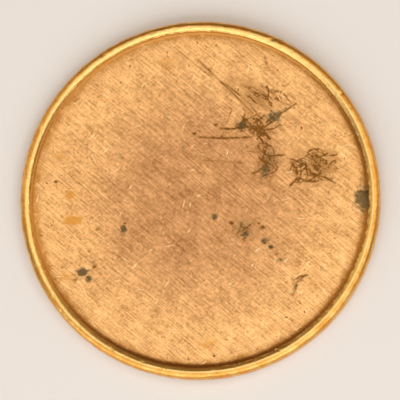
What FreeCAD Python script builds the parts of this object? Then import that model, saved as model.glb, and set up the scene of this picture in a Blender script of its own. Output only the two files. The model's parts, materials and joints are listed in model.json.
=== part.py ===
"""A golf ball marker: a thin coin-shaped disc that lies on the green in place of the ball.

A brass rim ring of C section holds a stack of three discs. The plain back disc of red brass faces
up (+Z), its border coved up to a ledge that the rim's rolled lip grips. A steel core lies under it,
so that a magnetic clip can hold the marker. The front disc faces down, with two wells of enamel, a
white aiming line between them and a coat of clear resin over both.

Millimetres. The origin is the centre of the circle that the marker rests on, with +Z up and the
aiming line along X.
"""

import FreeCAD, Part
import os

import Sketcher
from FreeCAD import Placement, Rotation, Vector

OUT = "parts"
ORIGIN_POINT = (-1, 1)
H_AXIS = -1
V_AXIS = -2
START, END, CENTRE = 1, 2, 3
NEAR = 1e-4  # Two points closer than this are the same point.

# The driving dimensions: alias, size in millimetres, and what it is.
SIZES = [
    ("rim_diameter", 25.0, "outside diameter of the rim ring"),
    ("thickness", 1.2, "whole marker, from crest to crest"),
    ("edge_rounding", 0.4, "radius of the rim's two outer corners"),
    ("crest_width", 0.12, "flat ring on top of each lip"),
    ("rim_wall", 0.4, "rim ring, from its outside to its bore"),
    ("lip_overlap", 0.4, "how far each lip reaches in over the discs"),
    ("lip_edge", 0.04, "blunt inner edge of each lip"),
    ("seat_clearance", 0.04, "gap between the discs and the rim's bore"),
    ("back_recess", 0.3, "from the back crest down to the plain face"),
    ("ledge_rise", 0.12, "from the plain face up to the ledge under the lip"),
    ("cove_width", 0.25, "sloping border between the plain face and the ledge"),
    ("cove_radius", 0.7, "hollow curve at the foot of that slope"),
    ("back_sheet", 0.2, "back disc, at its plain face"),
    ("front_recess", 0.2, "from the front crest up to the front disc"),
    ("front_sheet", 0.2, "front disc"),
    ("edge_break", 0.05, "chamfer on the core's two corners"),
    ("well_border", 1.1, "brass between the lip and the wells' outer wall"),
    ("well_depth", 0.12, "the wells and the aiming line's groove"),
    ("well_corner", 0.4, "rounding of each well's two corners"),
    ("aim_bar_width", 2.0, "brass bar between the two wells"),
    ("aim_line_width", 0.7, "white line along the middle of the bar"),
    ("aim_line_inset", 2.1, "from the wells' outer circle in to each end of the white line"),
    ("coat_thickness", 0.12, "clear resin over the front disc"),
    ("coat_gap", 0.05, "between the resin's edge and the lip"),
    ("coat_rounding", 0.06, "rounding of the resin's lower corner"),
]

# Formulas on the sheet that several pieces share.
RIM_R = "Sizes.rim_diameter / 2"
BORE_R = f"{RIM_R} - Sizes.rim_wall"
DISC_R = f"{BORE_R} - Sizes.seat_clearance"
LIP_R = f"{BORE_R} - Sizes.lip_overlap"
CREST_R = f"{RIM_R} - Sizes.edge_rounding - Sizes.crest_width"
FACE_R = f"{LIP_R} - Sizes.cove_width"
FACE_Z = "Sizes.thickness - Sizes.back_recess"
LEDGE_Z = f"{FACE_Z} + Sizes.ledge_rise"
CORE_TOP_Z = f"{FACE_Z} - Sizes.back_sheet"
FRONT_Z = "Sizes.front_recess"
CORE_FOOT_Z = "(Sizes.front_recess + Sizes.front_sheet)"
CORE_HEIGHT = f"({CORE_TOP_Z} - {CORE_FOOT_Z})"
WELL_R = f"({LIP_R} - Sizes.well_border)"
HALF_BAR = "Sizes.aim_bar_width / 2"
LINE_R = "Sizes.aim_line_width / 2"
LINE_RUN = f"2 * ({WELL_R} - Sizes.aim_line_inset - {LINE_R})"


def make_sheet(doc):
    """The spreadsheet that holds every driving dimension."""
    sheet = doc.addObject("Spreadsheet::Sheet", "Sizes")
    for row, (alias, size, note) in enumerate(SIZES, start=1):
        sheet.set(f"A{row}", note)
        sheet.set(f"B{row}", str(size))
        sheet.setAlias(f"B{row}", alias)
    doc.recompute()
    return sheet


def new_body(doc, name):
    body = doc.addObject("PartDesign::Body", name)
    body.Label = name
    body.Placement = Placement()
    return body


def new_sketch(body, name, plane, height=None):
    """A sketch on one of the body's own planes, lifted to a height from the sheet."""
    sketch = body.newObject("Sketcher::SketchObject", name)
    origin_plane = next(f for f in body.Origin.OriginFeatures if f.Role == plane)
    sketch.AttachmentSupport = (origin_plane, "")
    sketch.MapMode = "FlatFace"
    if height:
        sketch.setExpression("AttachmentOffset.Base.z", height)
    return sketch


def value(sketch, formula):
    """The number that a formula on the sheet gives now."""
    return float(sketch.evalExpression(formula))


def size(sketch, kind, where, formula):
    """A dimension of the sketch that follows a formula on the sheet."""
    index = sketch.addConstraint(Sketcher.Constraint(kind, *where, value(sketch, formula)))
    sketch.setExpression(f"Constraints[{index}]", formula)


def place_corner(sketch, point, radius, height):
    """Fixes a corner of a turned outline at a radius and a height. None means on that axis."""
    if radius is None:
        sketch.addConstraint(Sketcher.Constraint("PointOnObject", *point, V_AXIS))
    else:
        size(sketch, "DistanceX", (*ORIGIN_POINT, *point), radius)
    if height is None:
        sketch.addConstraint(Sketcher.Constraint("PointOnObject", *point, H_AXIS))
    else:
        size(sketch, "DistanceY", (*ORIGIN_POINT, *point), height)


def turned_body(doc, name, corners):
    """A body turned about Z. corners are (radius, height) formulas, in order round the section."""
    body = new_body(doc, name)
    sketch = new_sketch(body, name + "_section", "XZ_Plane")
    spots = [
        Vector(value(sketch, radius or "0"), value(sketch, height or "0"), 0)
        for radius, height in corners
    ]
    sides = []
    for number, start in enumerate(spots):
        end = spots[(number + 1) % len(spots)]
        sides.append(sketch.addGeometry(Part.LineSegment(start, end)))
    for number, side in enumerate(sides):
        joint = Sketcher.Constraint("Coincident", sides[number - 1], END, side, START)
        sketch.addConstraint(joint)
        place_corner(sketch, (side, START), *corners[number])
    revolution = body.newObject("PartDesign::Revolution", name + "_turned")
    revolution.Profile = sketch
    revolution.ReferenceAxis = (sketch, ["V_Axis"])
    revolution.Angle = 360.0
    doc.recompute()
    return body


def edges_at(feature, test):
    """The names of a feature's edges whose every sampled point passes the test."""
    names = []
    for number, edge in enumerate(feature.Shape.Edges, start=1):
        points = edge.discretize(5)
        if all(test(point) for point in points):
            names.append(f"Edge{number}")
    return names


def dress(body, kind, name, edges, dimension, formula):
    """Rounds or chamfers edges of the body's last feature, by a size from the sheet."""
    last_feature = body.Tip
    feature = body.newObject(f"PartDesign::{kind}", name)
    feature.Base = (last_feature, edges)
    feature.setExpression(dimension, formula)
    body.Document.recompute()
    return feature


def flat_disc(doc, name, radius, foot, height):
    """A body padded upwards from a circle of that radius at height foot."""
    body = new_body(doc, name)
    sketch = new_sketch(body, name + "_circle", "XY_Plane", foot)
    circle = Part.Circle(Vector(0, 0, 0), Vector(0, 0, 1), value(sketch, radius))
    ring = sketch.addGeometry(circle)
    sketch.addConstraint(Sketcher.Constraint("Coincident", ring, CENTRE, *ORIGIN_POINT))
    size(sketch, "Radius", (ring,), radius)
    pad_up(body, sketch, name + "_pad", height)
    return body


def pad_up(body, sketch, name, height):
    pad = body.newObject("PartDesign::Pad", name)
    pad.Profile = sketch
    pad.setExpression("Length", height)
    body.Document.recompute()
    return pad


def pocket_up(body, sketch, name, depth):
    """Cuts upwards from the sketch into the body, and makes sure that it cut something."""
    before = body.Shape.Volume
    pocket = body.newObject("PartDesign::Pocket", name)
    pocket.Profile = sketch
    pocket.Reversed = True
    pocket.setExpression("Length", depth)
    body.Document.recompute()
    if body.Shape.Volume >= before:
        raise RuntimeError(f"{name} cut nothing")
    return pocket


def well_sketch(body, name, side):
    """The outline of one enamel well: the segment of a circle beyond the aiming bar.

    side is 1 for the well at +Y and -1 for the one at -Y.
    """
    sketch = new_sketch(body, name, "XY_Plane", FRONT_Z)
    radius = value(sketch, WELL_R)
    half_bar = value(sketch, HALF_BAR)
    reach = (radius**2 - half_bar**2) ** 0.5
    right, left = Vector(reach, side * half_bar, 0), Vector(-reach, side * half_bar, 0)
    bow = sketch.addGeometry(Part.Arc(right, Vector(0, side * radius, 0), left))
    chord = sketch.addGeometry(Part.LineSegment(left, right))
    first, last = (START, END) if side > 0 else (END, START)
    sketch.addConstraint(Sketcher.Constraint("Coincident", bow, last, chord, START))
    sketch.addConstraint(Sketcher.Constraint("Coincident", bow, first, chord, END))
    sketch.addConstraint(Sketcher.Constraint("Coincident", bow, CENTRE, *ORIGIN_POINT))
    sketch.addConstraint(Sketcher.Constraint("Horizontal", chord))
    size(sketch, "Radius", (bow,), WELL_R)
    from_axis = (*ORIGIN_POINT, chord, START) if side > 0 else (chord, START, *ORIGIN_POINT)
    size(sketch, "DistanceY", from_axis, HALF_BAR)
    return sketch


def line_sketch(body, name):
    """The outline of the aiming line: a bar along X with round ends."""
    sketch = new_sketch(body, name, "XY_Plane", FRONT_Z)
    half_width = value(sketch, LINE_R)
    half_run = value(sketch, LINE_RUN) / 2
    tip = half_run + half_width
    upper = [Vector(half_run, half_width, 0), Vector(-half_run, half_width, 0)]
    lower = [Vector(-half_run, -half_width, 0), Vector(half_run, -half_width, 0)]
    top = sketch.addGeometry(Part.LineSegment(*upper))
    west = sketch.addGeometry(Part.Arc(upper[1], Vector(-tip, 0, 0), lower[0]))
    foot = sketch.addGeometry(Part.LineSegment(*lower))
    east = sketch.addGeometry(Part.Arc(lower[1], Vector(tip, 0, 0), upper[0]))
    loop = [top, west, foot, east]
    for before, after in zip(loop, loop[1:] + loop[:1]):
        sketch.addConstraint(Sketcher.Constraint("Tangent", before, END, after, START))
    sketch.addConstraint(Sketcher.Constraint("PointOnObject", west, CENTRE, H_AXIS))
    sketch.addConstraint(
        Sketcher.Constraint("Symmetric", west, CENTRE, east, CENTRE, *ORIGIN_POINT)
    )
    size(sketch, "Radius", (west,), LINE_R)
    size(sketch, "DistanceX", (west, CENTRE, east, CENTRE), LINE_RUN)
    return sketch


def well_corners(feature, height):
    """The two upright edges of a well's corners, which start at that height beside the bar."""
    half_bar = value(feature, HALF_BAR)

    def on_a_corner(point):
        return abs(abs(point.y) - half_bar) < NEAR and abs(point.x) > half_bar

    upright = []
    for name in edges_at(feature, on_a_corner):
        edge = feature.Shape.getElement(name)
        low, high = (v.Point for v in edge.Vertexes)
        if abs(low.x - high.x) < NEAR and min(low.z, high.z) > height - NEAR:
            upright.append(name)
    return upright


def make_rim_ring(doc):
    """The brass ring of C section, with the rolled lip above and the drawn lip below."""
    corners = [
        (RIM_R, None),
        (RIM_R, "Sizes.thickness"),
        (CREST_R, "Sizes.thickness"),
        (LIP_R, f"{LEDGE_Z} + Sizes.lip_edge"),
        (LIP_R, LEDGE_Z),
        (BORE_R, LEDGE_Z),
        (BORE_R, FRONT_Z),
        (LIP_R, FRONT_Z),
        (LIP_R, f"{FRONT_Z} - Sizes.lip_edge"),
        (CREST_R, None),
    ]
    body = turned_body(doc, "rim_ring", corners)
    outside = value(body, RIM_R)

    def on_an_outer_corner(point):
        return abs(point.x**2 + point.y**2 - outside**2) < NEAR

    circles = [
        name
        for name in edges_at(body.Tip, on_an_outer_corner)
        if body.Tip.Shape.getElement(name).isClosed()
    ]
    dress(body, "Fillet", "rim_rounding", circles, "Radius", "Sizes.edge_rounding")
    return body


def make_back_disc(doc):
    """The plain disc on top: flat face, cove, and the ledge that the rolled lip holds."""
    corners = [
        (None, CORE_TOP_Z),
        (DISC_R, CORE_TOP_Z),
        (DISC_R, LEDGE_Z),
        (LIP_R, LEDGE_Z),
        (FACE_R, FACE_Z),
        (None, FACE_Z),
    ]
    body = turned_body(doc, "back_disc", corners)
    face_r, face_z = value(body, FACE_R), value(body, FACE_Z)

    def at_the_foot_of_the_slope(point):
        return abs(point.z - face_z) < NEAR and abs((point.x**2 + point.y**2) ** 0.5 - face_r) < NEAR

    foot = edges_at(body.Tip, at_the_foot_of_the_slope)
    dress(body, "Fillet", "cove", foot, "Radius", "Sizes.cove_radius")
    return body


def make_core_disc(doc):
    """The steel core, which takes what height the other discs leave."""
    body = flat_disc(doc, "core_disc", DISC_R, CORE_FOOT_Z, CORE_HEIGHT)
    foot, top = value(body, CORE_FOOT_Z), value(body, CORE_TOP_Z)

    def on_a_corner(point):
        return min(abs(point.z - foot), abs(point.z - top)) < NEAR

    corners = edges_at(body.Tip, on_a_corner)
    thin_core_break = f"min(Sizes.edge_break; {CORE_HEIGHT} / 4)"
    dress(body, "Chamfer", "core_edge_break", corners, "Size", thin_core_break)
    return body


def make_front_disc(doc):
    """The front disc, with its two wells and the groove of the aiming line."""
    body = flat_disc(doc, "front_disc", DISC_R, FRONT_Z, "Sizes.front_sheet")
    for name, side in (("upper_well", 1), ("lower_well", -1)):
        outline = well_sketch(body, name + "_outline", side)
        pocket_up(body, outline, name, "Sizes.well_depth")
    groove = line_sketch(body, "aim_groove_outline")
    pocket_up(body, groove, "aim_groove", "Sizes.well_depth")
    corners = well_corners(body.Tip, value(body, FRONT_Z))
    dress(body, "Fillet", "well_rounding", corners, "Radius", "Sizes.well_corner")
    return body


def make_enamel_field(doc, name, side):
    """The enamel that fills one well, flush with the front disc."""
    body = new_body(doc, name)
    outline = well_sketch(body, name + "_outline", side)
    pad_up(body, outline, name + "_fill", "Sizes.well_depth")
    corners = well_corners(body.Tip, value(body, FRONT_Z))
    dress(body, "Fillet", name + "_rounding", corners, "Radius", "Sizes.well_corner")
    return body


def make_aim_line(doc):
    """The white enamel in the groove along the aiming bar."""
    body = new_body(doc, "aim_line")
    outline = line_sketch(body, "aim_line_outline")
    pad_up(body, outline, "aim_line_fill", "Sizes.well_depth")
    return body


def make_clear_coat(doc):
    """The clear resin poured over the front disc, inside the lip."""
    foot = f"{FRONT_Z} - Sizes.coat_thickness"
    body = flat_disc(doc, "clear_coat", f"{LIP_R} - Sizes.coat_gap", foot, "Sizes.coat_thickness")
    low = value(body, foot)

    def on_the_lower_corner(point):
        return abs(point.z - low) < NEAR

    corners = edges_at(body.Tip, on_the_lower_corner)
    dress(body, "Fillet", "coat_rounding", corners, "Radius", "Sizes.coat_rounding")
    return body


def check(doc, bodies):
    """Stops before anything is written if an object failed or a piece isn't one whole solid."""
    doc.recompute()
    for item in doc.Objects:
        if "Invalid" in item.State or "Error" in item.State:
            raise RuntimeError(f"{item.Name} failed: {item.State}")
    for body in bodies:
        shape = body.Shape
        if shape.isNull() or not shape.isValid() or len(shape.Solids) != 1:
            raise RuntimeError(f"{body.Label} isn't one valid solid")


def main():
    doc = FreeCAD.newDocument("ball_marker")
    make_sheet(doc)
    bodies = [
        make_rim_ring(doc),
        make_back_disc(doc),
        make_core_disc(doc),
        make_front_disc(doc),
        make_enamel_field(doc, "upper_enamel", 1),
        make_enamel_field(doc, "lower_enamel", -1),
        make_aim_line(doc),
        make_clear_coat(doc),
    ]
    check(doc, bodies)
    os.makedirs(OUT, exist_ok=True)
    for body in bodies:
        body.Shape.exportStep(os.path.join(OUT, body.Label + ".step"))
        box = body.Shape.BoundBox
        print(f"{body.Label}: {body.Shape.Volume:.3f} mm3, z {box.ZMin:.3f} to {box.ZMax:.3f}")


main()
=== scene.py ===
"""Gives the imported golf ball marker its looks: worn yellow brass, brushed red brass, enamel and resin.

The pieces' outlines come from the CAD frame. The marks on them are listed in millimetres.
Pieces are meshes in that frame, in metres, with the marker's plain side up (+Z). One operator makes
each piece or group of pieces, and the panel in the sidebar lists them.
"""

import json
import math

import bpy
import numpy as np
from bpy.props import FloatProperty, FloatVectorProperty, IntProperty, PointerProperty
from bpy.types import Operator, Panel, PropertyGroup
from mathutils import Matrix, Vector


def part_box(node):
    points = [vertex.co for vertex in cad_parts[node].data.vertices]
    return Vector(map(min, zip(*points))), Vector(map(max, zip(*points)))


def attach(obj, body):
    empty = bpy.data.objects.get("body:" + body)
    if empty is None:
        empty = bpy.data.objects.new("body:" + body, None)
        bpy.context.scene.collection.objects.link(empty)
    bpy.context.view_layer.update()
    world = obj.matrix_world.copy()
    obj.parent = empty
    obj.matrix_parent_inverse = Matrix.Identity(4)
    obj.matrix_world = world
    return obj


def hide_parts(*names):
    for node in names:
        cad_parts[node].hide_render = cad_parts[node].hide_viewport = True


bl_info = {
    "name": "Ball marker looks",
    "version": (1, 0, 0),
    "blender": (4, 5, 0),
    "location": "3D View > Sidebar > Ball marker",
    "description": "Builds the worn surfaces of a golf ball marker around its CAD frame",
    "category": "Object",
}

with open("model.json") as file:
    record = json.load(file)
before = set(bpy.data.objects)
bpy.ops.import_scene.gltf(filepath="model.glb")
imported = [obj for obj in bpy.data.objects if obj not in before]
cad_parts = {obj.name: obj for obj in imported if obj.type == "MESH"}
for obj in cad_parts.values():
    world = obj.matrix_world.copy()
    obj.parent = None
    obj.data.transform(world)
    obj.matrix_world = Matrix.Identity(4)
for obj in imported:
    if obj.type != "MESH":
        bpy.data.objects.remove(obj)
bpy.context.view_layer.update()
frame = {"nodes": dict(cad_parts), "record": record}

BODY = "root"
MM = 0.001
MICRON = 1e-6
TURN = 2 * math.pi


# ---------------------------------------------------------------- sizes read from the frame


def rings_of(node):
    """A CAD node's corners as (radius, height) pairs, in metres."""
    points = np.array([v.co for v in frame["nodes"][node].data.vertices])
    return np.column_stack([np.hypot(points[:, 0], points[:, 1]), points[:, 2]])


def radii_at(node, height):
    """The least and the greatest radius of a CAD node's corners at a height."""
    rings = rings_of(node)
    radii = rings[np.abs(rings[:, 1] - height) < MICRON, 0]
    return float(radii.min()), float(radii.max())


def heights_at(node, radius):
    """The different heights of a CAD node's corners at a radius, from low to high."""
    rings = rings_of(node)
    heights = rings[np.abs(rings[:, 0] - radius) < MICRON, 1]
    return [float(h) * MICRON for h in sorted(set(np.round(heights / MICRON)))]


def mount_height(name):
    return next(m["pos_m"][2] for m in frame["record"]["mounts"] if m["name"] == name)


RIM_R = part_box("rim_ring")[1].x
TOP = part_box("rim_ring")[1].z
CREST_IN, CREST_OUT = radii_at("rim_ring", TOP)
ROUNDING = RIM_R - CREST_OUT
LIP_R = float(rings_of("rim_ring")[:, 0].min())
LOW_EDGE, LOW_FOOT, HIGH_FOOT, HIGH_EDGE = heights_at("rim_ring", LIP_R)
BORE_R = radii_at("rim_ring", HIGH_FOOT)[1]
DISC_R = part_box("back_disc")[1].x
DISC_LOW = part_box("back_disc")[0].z
FACE_Z = mount_height("magnet_seat")
FACE_R = radii_at("back_disc", FACE_Z)[1]


# ---------------------------------------------------------------- settings


def colour_setting(name, description, default):
    return FloatVectorProperty(name=name, description=description, default=default, subtype="COLOR")


def length_setting(name, description, default):
    return FloatProperty(name=name, description=description, default=default, subtype="DISTANCE")


def angle_setting(name, description, degrees):
    return FloatProperty(name=name, description=description, default=math.radians(degrees), subtype="ANGLE")


class MarkerRimSettings(PropertyGroup):
    """The brass rim ring."""

    segments: IntProperty(name="Segments", description="Steps round the ring", default=900, min=60)
    burr: length_setting("Burr", "How far the ragged edge of the upper lip wanders", 0.2 * MM)
    dents: length_setting("Dents", "Depth of the knocks on the crest", 0.03 * MM)
    lip_drift: length_setting(
        "Lip drift", "How much narrower the upper lip is at the back left than at the front right", 0.085 * MM
    )
    brass: colour_setting("Brass", "Clean yellow brass", (0.96, 0.69, 0.25))
    tarnish: colour_setting("Tarnish", "Brass gone orange brown", (0.76, 0.35, 0.06))


class MarkerFaceSettings(PropertyGroup):
    """The plain red brass face."""

    cells: IntProperty(name="Cells", description="Mesh cells across the face", default=280, min=40)
    grain_angle: angle_setting("Grain angle", "Direction of the brush lines", -38)
    copper: colour_setting("Copper", "Red brass in the middle", (0.52, 0.255, 0.105))
    gold: colour_setting("Gold", "Yellower red brass near the rim", (0.86, 0.49, 0.192))


class MarkerScratchSettings(PropertyGroup):
    """What is strewn over the plain face."""

    specks: FloatProperty(name="Specks", description="Tarnish specks in a square metre", default=1.1e6)
    splinters: FloatProperty(
        name="Splinters", description="Bright scratches in a square metre", default=0.6e6
    )


class MarkerUndersideSettings(PropertyGroup):
    """The enamelled front, which faces down."""

    bead: length_setting("Bead", "Radius of the resin's rounded edge", 0.1 * MM)
    crown: length_setting(
        "Crown", "How much thicker the resin is in the middle than near its edge", 0.03 * MM
    )
    resin_gap: length_setting("Resin gap", "Between the resin and the enamel", 0.002 * MM)
    green: colour_setting("Green", "Deep green enamel", (0.012, 0.12, 0.05))
    pale_green: colour_setting("Pale green", "Where the enamel is thin", (0.022, 0.18, 0.08))


class MarkerStageSettings(PropertyGroup):
    """The camera, the lights and the floor."""

    elevation: angle_setting("Elevation", "Camera's height above the floor", 80)
    azimuth: angle_setting("Azimuth", "Camera's turn about the marker", 34)
    distance: FloatProperty(
        name="Distance", description="Camera to the marker", default=0.3, unit="LENGTH"
    )
    frame_share: FloatProperty(
        name="Frame share", description="Marker's diameter over the picture's width", default=0.9035
    )


# ---------------------------------------------------------------- meshes


def mesh_object(name, points, faces, material):
    """A mesh piece at the origin, smooth shaded."""
    mesh = bpy.data.meshes.new(name)
    mesh.from_pydata([tuple(p) for p in points], [], faces)
    mesh.validate()
    mesh.materials.append(material)
    mesh.shade_smooth()
    piece = bpy.data.objects.new(name, mesh)
    bpy.context.scene.collection.objects.link(piece)
    return piece


def settle(piece, node):
    """Attaches the piece to the body, and hides the CAD node that it stands for, if any."""
    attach(piece, BODY)
    if node:
        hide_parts(node)


def turn_out(piece):
    """Recalculates a closed piece's normals so that they point out."""
    for other in bpy.context.selected_objects:
        other.select_set(False)
    bpy.context.view_layer.objects.active = piece
    piece.select_set(True)
    bpy.ops.object.mode_set(mode="EDIT")
    bpy.ops.mesh.select_all(action="SELECT")
    bpy.ops.mesh.remove_doubles(threshold=0.1 * MICRON)
    bpy.ops.mesh.normals_make_consistent(inside=False)
    bpy.ops.object.mode_set(mode="OBJECT")
    piece.select_set(False)


def ripple(points, size, seed, waves=24):
    """Smooth noise of about -1 to 1 on an array of points, whose lumps are about that size."""
    rng = np.random.default_rng(seed)
    directions = rng.normal(size=(waves, points.shape[1]))
    directions /= np.linalg.norm(directions, axis=1)[:, None]
    pitch = size * rng.uniform(0.7, 1.8, waves)
    phase = rng.uniform(0, TURN, waves)
    total = np.zeros(len(points))
    for direction, step, start in zip(directions, pitch, phase):
        total += np.sin(points @ direction * TURN / (2 * step) + start)
    return total / math.sqrt(waves / 2) / 1.6


def smooth(low, high, x):
    """0 below low, 1 above high, and a smooth step between them."""
    t = np.clip((x - low) / (high - low), 0, 1)
    return t * t * (3 - 2 * t)


# ---------------------------------------------------------------- node trees


class Signal:
    """A node's output. Arithmetic on it adds maths nodes to its tree."""

    def __init__(self, tree, socket):
        self.tree, self.socket = tree, socket

    def __add__(self, other):
        return maths("ADD", self, other)

    def __sub__(self, other):
        return maths("SUBTRACT", self, other)

    def __mul__(self, other):
        return maths("MULTIPLY", self, other)

    def __rsub__(self, other):
        return maths("SUBTRACT", other, self)

    def __rtruediv__(self, other):
        return maths("DIVIDE", other, self)

    __radd__ = __add__


def feed(tree, node, inputs):
    """Links signals to a node's sockets, given by name or number, and sets the rest to plain values."""
    for name, source in inputs.items():
        if isinstance(source, Signal):
            tree.links.new(source.socket, node.inputs[name])
        else:
            node.inputs[name].default_value = source


def put(tree, kind, inputs=None, output=0, **settings):
    """Adds a node and returns one of its outputs as a signal."""
    node = tree.nodes.new(kind)
    for name, setting in settings.items():
        setattr(node, name, setting)
    feed(tree, node, inputs or {})
    return Signal(tree, node.outputs[output])


def is_vector(term):
    return isinstance(term, tuple) or isinstance(term, Signal) and term.socket.type in ("VECTOR", "RGBA")


def maths(operation, *terms):
    """A maths node, or a vector maths node where any term is a vector or a colour."""
    tree = next(term.tree for term in terms if isinstance(term, Signal))
    if not any(is_vector(term) for term in terms):
        return put(tree, "ShaderNodeMath", dict(enumerate(terms)), operation=operation)
    output = "Value" if operation in ("LENGTH", "DOT_PRODUCT") else "Vector"
    return put(tree, "ShaderNodeVectorMath", dict(enumerate(terms)), output, operation=operation)


def step(source, low, high, from_level=0.0, to_level=1.0):
    """A smooth step of a value from one level to another."""
    inputs = {0: source, 1: low, 2: high, 3: from_level, 4: to_level}
    return put(source.tree, "ShaderNodeMapRange", inputs, interpolation_type="SMOOTHSTEP")


def noise(vector, scale, detail=3.0, roughness=0.55, distortion=0.0):
    inputs = {"Vector": vector, "Scale": scale, "Detail": detail, "Roughness": roughness}
    return put(vector.tree, "ShaderNodeTexNoise", {**inputs, "Distortion": distortion}, "Fac")


def tint(factor, base, other):
    """Mixes two colours."""
    pair = [colour if isinstance(colour, Signal) else (*colour[:3], 1.0) for colour in (base, other)]
    inputs = {0: factor, 6: pair[0], 7: pair[1]}
    return put(factor.tree, "ShaderNodeMix", inputs, 2, data_type="RGBA", clamp_factor=True)


def new_group(name, kind, inputs, outputs):
    """A node group, its inputs as signals by name, and its output node. Sockets are {name: type}."""
    tree = bpy.data.node_groups.new(name, kind)
    for way, sockets in (("INPUT", inputs), ("OUTPUT", outputs)):
        for title, socket_type in sockets.items():
            tree.interface.new_socket(title, in_out=way, socket_type="NodeSocket" + socket_type)
    entry = tree.nodes.new("NodeGroupInput")
    given = {title: Signal(tree, entry.outputs[title]) for title in inputs}
    return tree, given, tree.nodes.new("NodeGroupOutput")


def use(builder, inputs):
    """Adds a node group, built the first time that it is asked for. Returns its outputs by name."""
    group = bpy.data.node_groups.get(builder.__name__) or builder(builder.__name__)
    tree = inputs["Place"].tree
    node = put(tree, "ShaderNodeGroup", inputs, node_tree=group).socket.node
    return {socket.name: Signal(tree, socket) for socket in node.outputs}


def brush_grain(name):
    """Parallel lines left by a brush: a height about 0.5, and a mask of a few dark nicks along them."""
    inputs = {"Place": "Vector", "Angle": "Float", "Line length": "Float", "Line width": "Float"}
    outputs = {"Height": "Float", "Nicks": "Float"}
    tree, given, leave = new_group(name, "ShaderNodeTree", inputs, outputs)
    turning = {"Vector": given["Place"], "Angle": given["Angle"] * -1.0}
    turned = put(tree, "ShaderNodeVectorRotate", turning, rotation_type="Z_AXIS")
    stretch = {"X": 1.0 / given["Line length"], "Y": 1.0 / given["Line width"], "Z": 1.0}
    place = turned * put(tree, "ShaderNodeCombineXYZ", stretch)
    nicks = noise(place * (2.0, 0.8, 1.0), 0.9, detail=1.0)
    lines = noise(place, 1.0, detail=2.5, roughness=0.6)
    feed(tree, leave, {"Height": lines, "Nicks": step(nicks, 0.66, 0.74)})
    return tree


def brush_lines(place, length, width, angle=0.0):
    """Brush grain whose lines are about that long and wide, in millimetres."""
    return use(brush_grain, {"Place": place, "Line length": length, "Line width": width, "Angle": angle})


def mottle(name):
    """Cloudy discoloration at two sizes, from 0 to 1."""
    inputs, outputs = {"Place": "Vector", "Size": "Float"}, {"Cloud": "Float", "Fleck": "Float"}
    tree, given, leave = new_group(name, "ShaderNodeTree", inputs, outputs)
    scale = 1.0 / given["Size"]
    cloud = noise(given["Place"], scale, detail=5.0, roughness=0.6, distortion=0.3)
    fleck = noise(given["Place"], scale * 5.0, detail=4.0, roughness=0.7)
    feed(tree, leave, {"Cloud": step(cloud, 0.3, 0.7), "Fleck": fleck})
    return tree


def clouds_of(place, size):
    """Mottling whose clouds are about that many millimetres across."""
    return use(mottle, {"Place": place, "Size": size})


def new_material(name):
    """A material, and a signal that gives the place on the marker in millimetres."""
    material = bpy.data.materials.new(name)
    material.use_nodes = True
    spot = put(material.node_tree, "ShaderNodeTexCoord", output="Object")
    return material, spot * (1 / MM, 1 / MM, 1 / MM)


def finish(material, inputs, relief=None, depth=0.0):
    """Feeds a material's Principled BSDF. A relief bumps it by that depth in millimetres."""
    tree = material.node_tree
    if relief:
        bumped = {"Height": relief, "Strength": 1.0, "Distance": depth * MM}
        inputs["Normal"] = put(tree, "ShaderNodeBump", bumped)
    feed(tree, tree.nodes["Principled BSDF"], inputs)
    return material


def attribute(material, name):
    return put(material.node_tree, "ShaderNodeAttribute", output="Fac", attribute_name=name)


def radius_of(place):
    """The distance from the marker's axis."""
    return maths("LENGTH", place * (1.0, 1.0, 0.0))


def shade(colour, level):
    """Lightens a colour where the level is above 0 and darkens it below, blue more than red."""
    return colour * (level * (0.85, 1.0, 1.2) + (1.0, 1.0, 1.0))


def blended(parts):
    """The sum of values that vary about 0.5, each less 0.5 and times its own weight."""
    return sum((source - 0.5) * weight for source, weight in parts)


# ---------------------------------------------------------------- the rim ring


def rim_section():
    """The ring's section as (radius, height) points, with the outer corners rounded."""
    fine = 0.035 * MM
    coarse = 0.3 * MM
    path = [
        ((BORE_R, LOW_FOOT), coarse),
        ((LIP_R, LOW_FOOT), fine),
        ((LIP_R, LOW_EDGE), fine),
        ((CREST_IN, 0.0), fine),
        ((CREST_OUT, 0.0), None),
        ((RIM_R, ROUNDING), fine * 3),
        ((RIM_R, TOP - ROUNDING), None),
        ((CREST_OUT, TOP), fine),
        ((CREST_IN, TOP), fine),
        ((LIP_R, HIGH_EDGE), fine),
        ((LIP_R, HIGH_FOOT), coarse),
        ((BORE_R, HIGH_FOOT), coarse),
    ]
    points = []
    for number, (start, spacing) in enumerate(path):
        end = path[(number + 1) % len(path)][0]
        if spacing is None:
            points += rounded_corner(start, end, fine)
            continue
        count = max(1, round(math.dist(start, end) / spacing))
        points += [tuple(np.array(start) + (np.array(end) - start) * i / count) for i in range(count)]
    return points


def rounded_corner(start, end, spacing):
    """A quarter circle from start to end, bulging outwards and away from the middle height."""
    centre = (CREST_OUT, start[1] + ROUNDING if start[1] < TOP / 2 else start[1])
    first = math.atan2(start[1] - centre[1], start[0] - centre[0])
    last = math.atan2(end[1] - centre[1], end[0] - centre[0])
    count = round(abs(last - first) * ROUNDING / spacing)
    angles = [first + (last - first) * i / count for i in range(count)]
    return [(centre[0] + ROUNDING * math.cos(a), centre[1] + ROUNDING * math.sin(a)) for a in angles]


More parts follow.
